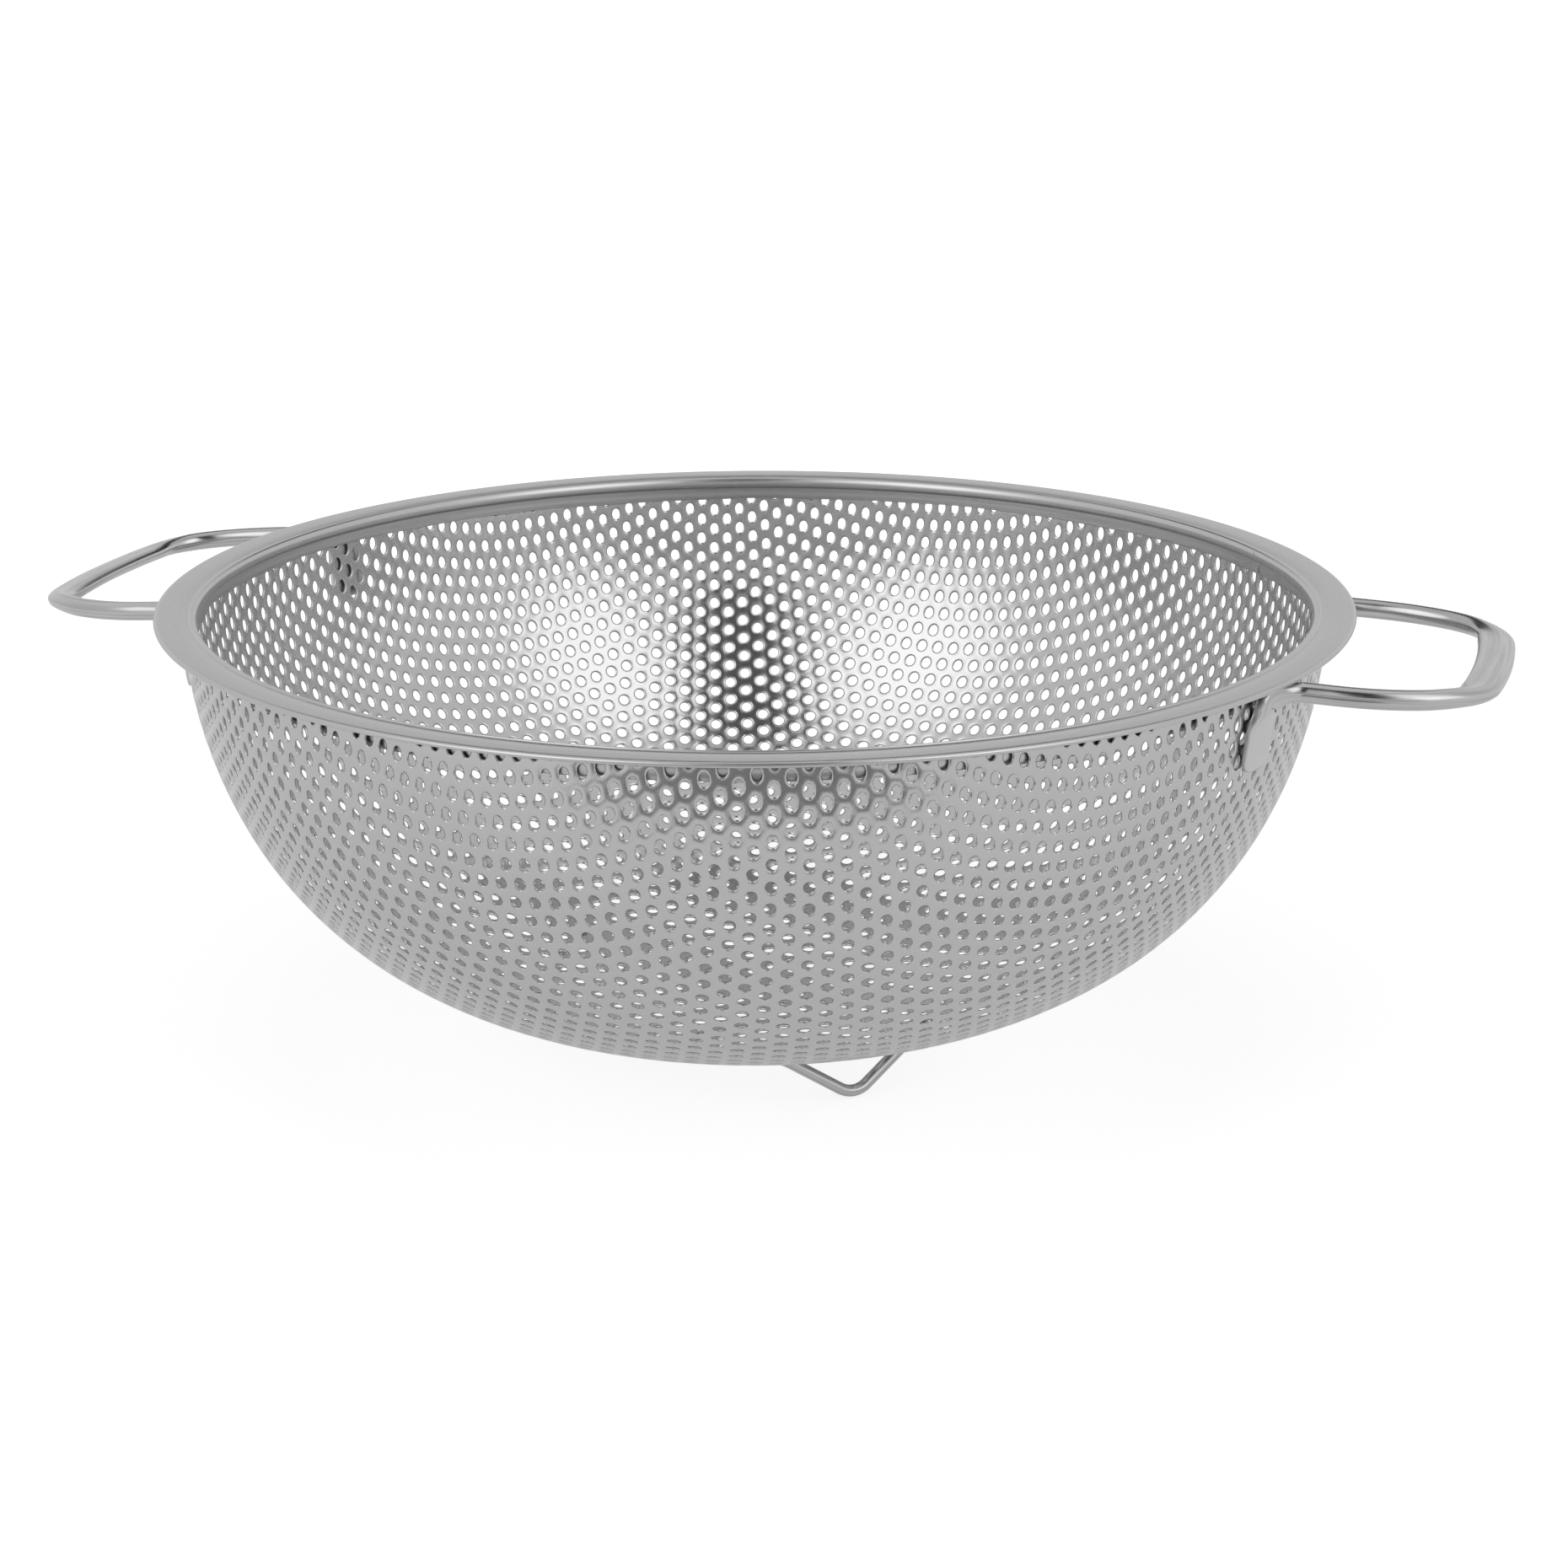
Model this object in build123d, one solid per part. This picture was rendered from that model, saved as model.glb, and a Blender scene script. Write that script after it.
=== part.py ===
"""Footed steel colander: a perforated bowl in a hemmed rim ring, two rod handles and three wire feet.

Millimetres and degrees. +X runs along the handles and +Z is up. The origin lies on the ground under the
bowl's axis. The bowl is one sheet, perforated flat in a staggered pattern and then drawn, so its holes
are worked out on the flat blank and carried onto the drawn wall.
"""
from build123d import *
from math import asin, atan2, ceil, copysign, cos, degrees, hypot, pi, radians, sin, sqrt, tan
import os

# Overall sizes
RIM_DIAMETER = 280.0
BOWL_DEPTH = 98.1
BASE_HEIGHT = 10.65
SHEET = 0.6

# Rim ring: a flat flange with a folded outer edge, a rounded lip inside it and a skirt in the bowl
FLANGE_WIDTH = 6.6
HEM_THICKNESS = 1.28
LIP_OVERHANG = 3.4
LIP_ROUND = 0.9
LIP_DEPTH = 2.5
LIP_FOOT = 0.5
SKIRT_DEPTH = 6.6
SKIRT_CLEARANCE = 0.15
SEAM_AZIMUTH = 35.1
SEAM_GAP = 0.9
NOSE_ANGLES = (-90, -30, 30, 90)
LIP_ANGLES = (90, 180)

# Bowl: a wall arc, a knuckle arc and a base arc, tangent to each other
KNUCKLE_RADIUS = 88.8
WALL_TURN = 26.4
BASE_TURN = 5.5
ARC_BANDS = (3, 6, 2)
FACETS = 48

# Perforation, laid out on the flat blank
HOLE_PITCH = 24.0
HOLE_DIAMETER = 15.0
HOLE_SIDES = 6
PATTERN_AZIMUTH = -12.8
PLAIN_MARGIN = 2.0
WELD_LAND = 4.0
CUT_OVERRUN = 3.0
HALVINGS = 40

# Handles: a round rod, pressed flat along the grip and flattened to a tab at each end
HANDLE_REACH = 31.4
ROD_DIAMETER = 4.7
ROD_CLEARANCE = 0.1
GRIP_WIDTH = 8.4
GRIP_THICKNESS = 3.2
GRIP_DROP = 0.43
GRIP_FLAT = 13.6
GRIP_RUNOUT = 10.6
GRIP_BOW_RADIUS = 208.0
GRIP_EASE_RADIUS = 49.0
CORNER_RADIUS = 12.6
SHOULDER_RADIUS = 23.0
NECK_RADIUS = 42.0
LEG_RADIUS = 55.0
HANDLE_TURNS = (5.0, 7.0, 26.0, 30.0, 16.5, 5.5)
ROD_STEP = 13.0
RIGHT_DROOP = 2.1
LEFT_DROOP = 5.1
TAB_WIDTH = 10.5
TAB_THICKNESS = 1.65
TAB_AZIMUTH = 19.5
TAB_LENGTH = 20.5
TAB_BEND_RADIUS = 4.0
TAB_GAP = 0.3
TAB_WELD_DEPTHS = (8.5, 14.5)
ROD_SIDES = 12
ROUND_POWER = 2.0
GRIP_POWER = 2.6
TAB_POWER = 6.0
TAB_BEND_STEPS = 3

# Feet: three V-shaped wires, each with its two ends bent flat under the base
FOOT_WIRE = 2.5
FOOT_RADIUS = 54.0
FOOT_HALF_SPAN = 18.3
FOOT_LEAN = 7.3
FOOT_PAD = 7.0
FOOT_TIP_RADIUS = 3.5
FOOT_KNEE_RADIUS = 4.0
FOOT_CLEARANCE = 0.1
FOOT_AZIMUTH = -48.5
FOOT_COUNT = 3
FOOT_SIDES = 8
FOOT_STEP = 30.0

rim_radius = RIM_DIAMETER / 2
mouth_radius = rim_radius - FLANGE_WIDTH
rim_top = BASE_HEIGHT + BOWL_DEPTH
flange_under = rim_top - HEM_THICKNESS


def bowl_arcs():
    """Return the wall, knuckle and base arcs as (radius, centre r, centre z, start turn, end turn).

    A turn is the angle of the outward normal below the horizontal: 0 at the mouth, 90 on the axis. The
    wall and base radii are solved so that the three arcs span the mouth radius and the depth.
    """
    first, second = radians(WALL_TURN), radians(90 - BASE_TURN)
    across = mouth_radius - KNUCKLE_RADIUS * (cos(first) - cos(second))
    down = BOWL_DEPTH - KNUCKLE_RADIUS * (sin(second) - sin(first))
    scale = (1 - cos(first)) * (1 - sin(second)) - sin(first) * cos(second)
    wall = (across * (1 - sin(second)) - down * cos(second)) / scale
    base = (down * (1 - cos(first)) - across * sin(first)) / scale
    centre_r, centre_z = mouth_radius - wall, rim_top
    arcs = [(wall, centre_r, centre_z, 0.0, first)]
    centre_r += (wall - KNUCKLE_RADIUS) * cos(first)
    centre_z -= (wall - KNUCKLE_RADIUS) * sin(first)
    arcs.append((KNUCKLE_RADIUS, centre_r, centre_z, first, second))
    centre_z += (base - KNUCKLE_RADIUS) * sin(second)
    arcs.append((base, 0.0, centre_z, second, pi / 2))
    return arcs


ARCS = bowl_arcs()


def skin_point(turn, inset=0.0):
    """Point (r, z) of the bowl's outside, or of a skin that lies inset from it, at a turn in radians."""
    radius, centre_r, centre_z = next(arc[:3] for arc in ARCS if turn <= arc[4] or arc is ARCS[-1])
    return centre_r + (radius - inset) * cos(turn), centre_z - (radius - inset) * sin(turn)


def turn_at_depth(depth, inset=0.0):
    """Turn on the wall arc at a depth below the rim's top plane."""
    return asin(depth / (ARCS[0][0] - inset))


def wall_radius(depth, inset=0.0):
    """Radius of a skin of the wall at a depth below the rim's top plane."""
    return skin_point(turn_at_depth(depth, inset), inset)[0]


def skin_outline(inset):
    """Corners of one skin from the flange's underside to the axis: a collar, then chords of the arcs."""
    corners = [skin_point(turn_at_depth(HEM_THICKNESS, inset), inset)]
    starts = [turn_at_depth(SKIRT_DEPTH, inset), ARCS[1][3], ARCS[2][3]]
    for start, arc, bands in zip(starts, ARCS, ARC_BANDS):
        for band in range(bands):
            corners.append(skin_point(start + (arc[4] - start) * band / bands, inset))
    return corners + [(0.0, skin_point(pi / 2, inset)[1])]


def revolved(corners):
    """Ring turned about the axis from the corners (r, z) of its closed section."""
    section = make_face(Polyline(*[(r, 0.0, z) for r, z in corners], close=True))
    return revolve(section, Axis.Z)


def faceted(corners):
    """Solid whose closed section (r, z) is carried round the axis in flat facets."""
    faces = []
    for (low_r, low_z), (high_r, high_z) in zip(corners, corners[1:] + corners[:1]):
        for facet in range(FACETS):
            start, end = 360 * facet / FACETS, 360 * (facet + 1) / FACETS
            low = [polar(low_r, start, low_z), polar(low_r, end, low_z)][:2 if low_r else 1]
            high = [polar(high_r, end, high_z), polar(high_r, start, high_z)][:2 if high_r else 1]
            if low_r or high_r:
                faces.append(Face(Wire.make_polygon(low + high, close=True)))
    return Solid(Shell(faces))


def area_below(turn):
    """Area of the bowl's outside between the axis and a turn."""
    area = 0.0
    for radius, centre_r, _, start, end in ARCS:
        low = max(turn, start)
        if low < end:
            area += 2 * pi * radius * (centre_r * (end - low) + radius * (sin(end) - sin(low)))
    return area


def blank_radius(turn):
    """Radius on the flat blank of the metal that ends at a turn: drawing keeps the sheet's area."""
    return sqrt(area_below(turn) / pi)


def turn_where(size_at, size):
    """Turn at which a size that shrinks towards the axis has a given value, found by halving."""
    low, high = 0.0, pi / 2
    for _ in range(HALVINGS):
        middle = (low + high) / 2
        if size_at(middle) > size:
            low = middle
        else:
            high = middle
    return (low + high) / 2


def turn_of_blank(radius):
    """Turn at which the metal of a blank radius ends."""
    return turn_where(blank_radius, radius)


def polar(radius, azimuth, z):
    """Point at a radius, an azimuth in degrees and a height."""
    return Vector(radius * cos(radians(azimuth)), radius * sin(radians(azimuth)), z)


def hole_sites():
    """Sites (turn, azimuth, blank radius) of the staggered pattern, clear of the skirt."""
    top = turn_at_depth(SKIRT_DEPTH + PLAIN_MARGIN)
    stretch = blank_radius(top) / skin_point(top)[0]
    limit = blank_radius(top) - HOLE_DIAMETER / 2 * stretch
    rows = ceil(limit / HOLE_PITCH) + 1
    sites = []
    for row in range(-rows, rows + 1):
        for column in range(-rows, rows + 1):
            x = (column + row % 2 / 2) * HOLE_PITCH
            y = row * HOLE_PITCH * sqrt(3) / 2
            if hypot(x, y) < limit:
                azimuth = PATTERN_AZIMUTH + degrees(atan2(y, x))
                sites.append((turn_of_blank(hypot(x, y)), azimuth, hypot(x, y)))
    return sites


def hole_cutter(turn, azimuth, blank):
    """Prism through the wall at a site, taller and narrower the further the metal was drawn in."""
    radius, z = skin_point(turn, SHEET / 2)
    narrow = radius / blank if blank > HOLE_PITCH / 2 else 1.0
    tangent = polar(1.0, azimuth + 90, 0.0)
    normal = polar(cos(turn), azimuth, -sin(turn))
    corners = []
    for side in range(HOLE_SIDES):
        angle = radians(90 + 360 * side / HOLE_SIDES)
        across = HOLE_DIAMETER / 2 * narrow * cos(angle)
        corners.append((across, HOLE_DIAMETER / 2 / narrow * sin(angle)))
    outline = make_face(Polyline(*corners, close=True))
    placed = Plane(origin=polar(radius, azimuth, z), x_dir=tangent, z_dir=normal).location * outline
    return extrude(placed, amount=SHEET / 2 + CUT_OVERRUN, dir=normal, both=True)


def weld_places():
    """Places on the bowl's outside that keep plain metal, under the handles' tabs and the feet's pads."""
    places = []
    for side in (0, 180):
        for lean in (-TAB_AZIMUTH, TAB_AZIMUTH):
            for depth in TAB_WELD_DEPTHS:
                places.append(polar(wall_radius(depth), side + lean, rim_top - depth))
    for azimuth in foot_azimuths():
        for end in (foot_corners()[0], foot_corners()[-1]):
            places.append((foot_location(azimuth) * Pos(end)).position)
    return places


def perforated_bowl():
    """The drawn bowl: two parallel skins in flat facets, pierced at every site that carries no weld."""
    outer, inner = skin_outline(0.0), skin_outline(SHEET)
    shell = faceted(outer + inner[::-1])
    lands = weld_places()
    cutters = []
    for turn, azimuth, blank in hole_sites():
        radius, z = skin_point(turn)
        place = polar(radius, azimuth, z)
        if min((place - land).length for land in lands) > HOLE_DIAMETER / 2 + WELD_LAND:
            cutters.append(hole_cutter(turn, azimuth, blank))
    print("holes in the bowl:", len(cutters))
    return shell - cutters


def rim_ring():
    """The hemmed ring: flange, rounded nose, rounded lip and skirt, with the open seam of its strip."""
    nose = HEM_THICKNESS / 2
    lip = mouth_radius - LIP_OVERHANG
    skirt_out = wall_radius(SKIRT_DEPTH, SHEET) * cos(pi / FACETS) - SKIRT_CLEARANCE
    skirt_in = skirt_out - SHEET
    corners = []
    for angle in NOSE_ANGLES:
        edge = rim_radius - nose + nose * cos(radians(angle))
        corners.append((edge, rim_top - nose + nose * sin(radians(angle))))
    for angle in LIP_ANGLES:
        edge = lip + LIP_ROUND + LIP_ROUND * cos(radians(angle))
        corners.append((edge, rim_top - LIP_ROUND + LIP_ROUND * sin(radians(angle))))
    corners.append((lip, rim_top - LIP_DEPTH))
    corners.append((skirt_in, rim_top - LIP_DEPTH - LIP_FOOT))
    corners.append((skirt_in, rim_top - SKIRT_DEPTH))
    corners.append((skirt_out, rim_top - SKIRT_DEPTH))
    corners.append((skirt_out, flange_under))
    return revolved(corners) - seam_cutter(skirt_in)


def seam_cutter(skirt_in):
    """Wedge that opens the strip's seam below the lip, widest at the skirt's lower edge."""
    top = -LIP_DEPTH - LIP_FOOT - SHEET
    foot = -SKIRT_DEPTH - CUT_OVERRUN
    wedge = make_face(Polyline((0.0, top), (-SEAM_GAP / 2, foot), (SEAM_GAP / 2, foot), close=True))
    outward = polar(1.0, SEAM_AZIMUTH, 0.0)
    start = polar(skirt_in - CUT_OVERRUN, SEAM_AZIMUTH, rim_top)
    upright = Plane(origin=start, x_dir=polar(1.0, SEAM_AZIMUTH + 90, 0.0), z_dir=outward).location
    return extrude(upright * wedge, amount=2 * CUT_OVERRUN + SHEET, dir=outward)


def outline(centre, across, up, width, height, power, sides):
    """Corners of a rod's section: round at power 2 and squarer above it."""
    corners = []
    for side in range(sides):
        x, y = cos(2 * pi * (side + 0.5) / sides), sin(2 * pi * (side + 0.5) / sides)
        x = copysign(abs(x) ** (ROUND_POWER / power), x)
        y = copysign(abs(y) ** (ROUND_POWER / power), y)
        corners.append(centre + across * (width / 2 * x) + up * (height / 2 * y))
    return corners


def skinned(outlines):
    """Closed solid over a row of outlines with the same number of corners, in triangles."""
    faces = [Wire.make_polygon(end, close=True) for end in (outlines[0], outlines[-1])]
    for low, high in zip(outlines, outlines[1:]):
        for side in range(len(low)):
            for corner in ([low[side - 1], low[side], high[side]], [low[side - 1], high[side], high[side - 1]]):
                faces.append(Wire.make_polygon(corner, close=True))
    return Solid(Shell([Face(wire) for wire in faces]))


def rod_at(run):
    """Plan of a half handle at a run from the grip's middle: reach, side and heading in radians."""
    radii = (GRIP_BOW_RADIUS, GRIP_EASE_RADIUS, CORNER_RADIUS, SHOULDER_RADIUS, NECK_RADIUS, LEG_RADIUS)
    reach, side, heading = rim_radius + HANDLE_REACH, 0.0, 0.0
    for radius, turn in zip(radii, HANDLE_TURNS):
        ahead = heading + min(run / radius, radians(turn))
        reach -= radius * (cos(heading) - cos(ahead))
        side += radius * (sin(ahead) - sin(heading))
        run -= radius * (ahead - heading)
        heading = ahead
    return reach, side, heading


def rod_runs():
    """Runs at which a half handle gets a section: its arcs in equal steps, and the end of the flat."""
    radii = (GRIP_BOW_RADIUS, GRIP_EASE_RADIUS, CORNER_RADIUS, SHOULDER_RADIUS, NECK_RADIUS, LEG_RADIUS)
    runs, start = [0.0], 0.0
    for radius, turn in zip(radii, HANDLE_TURNS):
        steps = ceil(turn / ROD_STEP)
        runs += [start + radius * radians(turn) * (step + 1) / steps for step in range(steps)]
        start = runs[-1]
    return sorted([run for run in runs if abs(run - GRIP_FLAT) > ROD_DIAMETER / 4] + [GRIP_FLAT])


def rod_outline(run, droop, mirror):
    """Section of the rod at a run of one half, in a plane that droops outwards from the mouth."""
    reach, side, heading = rod_at(run)
    flat = min(1.0, max(0.0, 1 - (run - GRIP_FLAT) / GRIP_RUNOUT))
    slope = Vector(cos(droop), 0.0, -sin(droop))
    up = Vector(sin(droop), 0.0, cos(droop))
    start = Vector(mouth_radius, mirror * side, flange_under - ROD_CLEARANCE - ROD_DIAMETER / 2)
    centre = start + slope * (reach - mouth_radius) - up * (GRIP_DROP * flat)
    across = slope * cos(heading) + Vector(0.0, mirror * sin(heading), 0.0)
    width = ROD_DIAMETER + (GRIP_WIDTH - ROD_DIAMETER) * flat
    height = ROD_DIAMETER + (GRIP_THICKNESS - ROD_DIAMETER) * flat
    power = ROUND_POWER + (GRIP_POWER - ROUND_POWER) * flat
    return outline(centre, across, up, width, height, power, ROD_SIDES)


def tab_outlines(mirror):
    """Sections of one tab: flat under the flange, round its bend and down along the wall's two welds."""
    azimuth = mirror * TAB_AZIMUTH
    outward, along = polar(1.0, azimuth, 0.0), polar(1.0, azimuth + mirror * 90, 0.0)
    high, low = TAB_WELD_DEPTHS
    tilt = atan2(wall_radius(high) - wall_radius(low), low - high)
    hub_z = flange_under - ROD_CLEARANCE - TAB_THICKNESS / 2 - TAB_BEND_RADIUS
    end_z = hub_z + TAB_BEND_RADIUS * sin(tilt)
    end_r = wall_radius(high) + (TAB_GAP + TAB_THICKNESS / 2) / cos(tilt)
    end_r += (high - (rim_top - end_z)) * tan(tilt)
    hub = outward * (end_r + TAB_BEND_RADIUS * cos(tilt)) + Vector(0.0, 0.0, hub_z)
    outlines = []
    for step in range(TAB_BEND_STEPS + 1):
        angle = (pi / 2 - tilt) * step / TAB_BEND_STEPS
        up = Vector(0.0, 0.0, cos(angle)) - outward * sin(angle)
        centre = hub + up * TAB_BEND_RADIUS
        outlines.append(outline(centre, along, up, TAB_WIDTH, TAB_THICKNESS, TAB_POWER, ROD_SIDES))
    down = Vector(0.0, 0.0, -cos(tilt)) - outward * sin(tilt)
    centre += down * (TAB_LENGTH - TAB_BEND_RADIUS)
    outlines.append(outline(centre, along, up, TAB_WIDTH, TAB_THICKNESS, TAB_POWER, ROD_SIDES))
    return outlines


def handle(droop):
    """A whole handle on the +X side in one rod: tab, leg, grip, leg and tab."""
    halves = []
    for mirror in (-1, 1):
        rod = [rod_outline(run, radians(droop), mirror) for run in rod_runs()]
        halves.append(rod + tab_outlines(mirror))
    return skinned(halves[0][::-1] + halves[1][1:])


def foot_azimuths():
    """Azimuths of the three feet."""
    return [FOOT_AZIMUTH + 360 / FOOT_COUNT * foot for foot in range(FOOT_COUNT)]


def foot_location(azimuth):
    """Location of a foot's own frame, x sideways, y inwards and z up, on the ground below its tip."""
    sideways = polar(1.0, azimuth + 90, 0.0)
    return Plane(origin=polar(FOOT_RADIUS, azimuth, 0.0), x_dir=sideways, z_dir=(0, 0, 1)).location


def foot_corners():
    """Corners of the foot's wire: pad end, knee, tip, knee and pad end."""
    knee_radius = hypot(FOOT_RADIUS - FOOT_LEAN, FOOT_HALF_SPAN)
    under = skin_point(turn_where(lambda turn: skin_point(turn)[0], knee_radius))[1]
    pad_z = under - FOOT_CLEARANCE - FOOT_WIRE / 2
    reach = 1 + FOOT_PAD / hypot(FOOT_HALF_SPAN, FOOT_LEAN)
    knees = [Vector(side * FOOT_HALF_SPAN, FOOT_LEAN, pad_z) for side in (-1, 1)]
    ends = [Vector(knee.X * reach, knee.Y * reach, pad_z) for knee in knees]
    return [ends[0], knees[0], Vector(0.0, 0.0, FOOT_WIRE / 2), knees[1], ends[1]]


def foot():
    """One V-shaped wire in its own frame, its bends in odd steps, so that a small flat meets the ground."""
    path = FilletPolyline(*foot_corners(), radius=[FOOT_KNEE_RADIUS, FOOT_TIP_RADIUS, FOOT_KNEE_RADIUS])
    runs = [0.0]
    for edge in path.edges():
        steps = 1
        if edge.geom_type == GeomType.CIRCLE:
            steps = 2 * int(degrees(edge.length / edge.radius) / FOOT_STEP / 2) + 1
        start = runs[-1]
        runs += [start + edge.length * (step + 1) / steps for step in range(steps)]
    size = FOOT_WIRE / cos(pi / FOOT_SIDES)
    outlines = []
    for run in runs:
        heading = path % (run / runs[-1])
        across = heading.cross(Vector(0, 0, 1)).normalized()
        centre = path @ (run / runs[-1])
        outlines.append(outline(centre, across, across.cross(heading), size, size, ROUND_POWER, FOOT_SIDES))
    return skinned(outlines)


def main():
    """Build every piece and write one STEP file each."""
    pieces = {
        "perforated_bowl": perforated_bowl(),
        "rim_ring": rim_ring(),
        "handle_right": handle(RIGHT_DROOP),
        "handle_left": Rot(0, 0, 180) * handle(LEFT_DROOP),
    }
    for name, azimuth in zip(("foot_front", "foot_back", "foot_left"), foot_azimuths()):
        pieces[name] = foot_location(azimuth) * foot()
    os.makedirs("parts", exist_ok=True)
    for name, piece in pieces.items():
        export_step(piece, f"parts/{name}.step")
        print(name, "volume", round(piece.volume, 1), "size", piece.bounding_box().size)


main()
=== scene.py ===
# %% [markdown]
# # A footed steel colander
#
# This colander is a bowl of perforated sheet in a hemmed rim ring, with two loop handles of bent rod and
# three wire feet. The measured solids come in first and never move. Everything below is drawn in
# millimetres in the same place as those solids, and turned into metres when a mesh is made.

# %% Load the measured solids
import math

import bpy
import numpy as np
from mathutils import Matrix, Vector


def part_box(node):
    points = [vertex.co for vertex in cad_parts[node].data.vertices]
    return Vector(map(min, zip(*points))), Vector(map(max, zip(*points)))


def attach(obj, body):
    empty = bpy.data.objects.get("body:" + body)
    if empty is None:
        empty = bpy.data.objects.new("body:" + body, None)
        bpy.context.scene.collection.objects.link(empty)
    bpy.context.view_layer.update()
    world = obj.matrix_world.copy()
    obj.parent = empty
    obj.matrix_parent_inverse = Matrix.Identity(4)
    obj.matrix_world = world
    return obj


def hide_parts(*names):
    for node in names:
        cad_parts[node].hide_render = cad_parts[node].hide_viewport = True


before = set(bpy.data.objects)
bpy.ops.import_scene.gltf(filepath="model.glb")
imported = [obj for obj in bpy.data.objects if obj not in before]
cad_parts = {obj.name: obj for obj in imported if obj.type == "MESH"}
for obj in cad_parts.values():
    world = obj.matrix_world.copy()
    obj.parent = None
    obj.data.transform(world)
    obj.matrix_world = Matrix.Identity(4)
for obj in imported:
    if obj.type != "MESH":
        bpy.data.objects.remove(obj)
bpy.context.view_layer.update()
MM = 0.001
RIM_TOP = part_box("rim_ring")[1].z / MM
RIM_RADIUS = 140.0
print("rim top", round(RIM_TOP, 2), "rim radius", round(RIM_RADIUS, 2), "nodes", sorted(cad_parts))

# %% [markdown]
# ## The camera
#
# A photograph of a round rim gives the camera away: the shape of its ellipse tells the elevation and the
# distance, and its centre tells where the lens points. The camera looks at the rim's centre from 0.75 m and
# is then turned a little so that the centre lands on its own pixel. That keeps the lens shift at zero.

# %% Camera
PHOTO_SIDE = 1860
FOCAL_PIXELS = 3758.4
SENSOR = 36.0
CAMERA_DISTANCE = 750.15
CAMERA_AZIMUTH = math.radians(-72.8)
CAMERA_ELEVATION = math.radians(13.83)
CAMERA_ROLL = math.radians(-0.295)
RIM_CENTRE_PIXEL = (897.64, 700.22)


def level_vector(azimuth, elevation=0.0):
    """Unit vector at an azimuth and an elevation, both in radians."""
    level = math.cos(elevation)
    return Vector((level * math.cos(azimuth), level * math.sin(azimuth), math.sin(elevation)))


def add_camera():
    """Add the camera and return it."""
    ahead = -level_vector(CAMERA_AZIMUTH, CAMERA_ELEVATION)
    right = level_vector(CAMERA_AZIMUTH + math.pi / 2)
    up = right.cross(ahead)
    yaw = math.atan((RIM_CENTRE_PIXEL[0] - PHOTO_SIDE / 2) / FOCAL_PIXELS)
    pitch = math.atan((RIM_CENTRE_PIXEL[1] - PHOTO_SIDE / 2) / FOCAL_PIXELS)
    place = Vector((0, 0, RIM_TOP)) - ahead * CAMERA_DISTANCE
    tilted = ahead * math.cos(pitch) + up * math.sin(pitch)
    up = up * math.cos(pitch) - ahead * math.sin(pitch)
    ahead = tilted * math.cos(yaw) - right * math.sin(yaw)
    right = right * math.cos(yaw) + tilted * math.sin(yaw)
    across = right * math.cos(CAMERA_ROLL) + up * math.sin(CAMERA_ROLL)
    up = up * math.cos(CAMERA_ROLL) - right * math.sin(CAMERA_ROLL)
    camera = bpy.data.objects.new("camera", bpy.data.cameras.new("camera"))
    camera.data.sensor_width = SENSOR
    camera.data.lens = SENSOR * FOCAL_PIXELS / PHOTO_SIDE
    camera.data.clip_start = 0.01
    camera.matrix_world = Matrix((across, up, -ahead)).transposed().to_4x4()
    camera.location = place * MM
    bpy.context.scene.collection.objects.link(camera)
    return camera


bpy.context.scene.camera = add_camera()
print("lens", round(bpy.context.scene.camera.data.lens, 2), "mm")

# %% [markdown]
# ## Shader sums
#
# A finish is easier to read as a formula than as a drawing of nodes. This class wraps one socket, so that
# `0.3 + 0.1 * grain` adds the Math nodes itself. Numbers go through Math nodes, colours through Mix nodes,
# and any other node comes from `node`, which sets the node's own settings before its sockets.

# %% Class for shader sums


class Signal:
    """One output of a node, ready for use in sums."""

    def __init__(self, tree, socket=None):
        self.tree = tree
        self.socket = socket

    def node(self, kind, settings=None, plugs=None, output=0):
        """Add a node with its settings, then its socket values or links, and return one of its outputs."""
        made = self.tree.nodes.new(kind)
        for name, value in (settings or {}).items():
            setattr(made, name, value)
        for name, value in (plugs or {}).items():
            if isinstance(value, Signal):
                self.tree.links.new(value.socket, made.inputs[name])
            else:
                made.inputs[name].default_value = value
        return Signal(self.tree, made.outputs[output])

    def sum(self, operation, *values):
        """Add one Math node over values or signals."""
        return self.node("ShaderNodeMath", {"operation": operation}, dict(enumerate(values)))

    def __add__(self, other):
        return self.sum("ADD", self, other)

    __radd__ = __add__

    def __mul__(self, other):
        return self.sum("MULTIPLY", self, other)

    __rmul__ = __mul__

    def __sub__(self, other):
        return self.sum("SUBTRACT", self, other)

    def __rsub__(self, other):
        return self.sum("SUBTRACT", other, self)

    def __truediv__(self, other):
        return self.sum("DIVIDE", self, other)

    def __rtruediv__(self, other):
        return self.sum("DIVIDE", other, self)

    def __pow__(self, other):
        return self.sum("POWER", self, other)

    def ramp(self, low, high):
        """Rise smoothly from 0 to 1 between two values."""
        plugs = {"Value": self, "From Min": low, "From Max": high}
        return self.node("ShaderNodeMapRange", {"interpolation_type": "SMOOTHSTEP"}, plugs)

    def blend(self, first, second):
        """Mix two colours, this signal being the share of the second."""
        plugs = {0: self, 6: first, 7: second}
        return self.node("ShaderNodeMix", {"data_type": "RGBA"}, plugs, 2)


def grey(level, warmth=0.0):
    """Colour of a plain grey, a little warm or cool."""
    return (level * (1 + warmth), level, level * (1 - warmth), 1.0)
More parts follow.
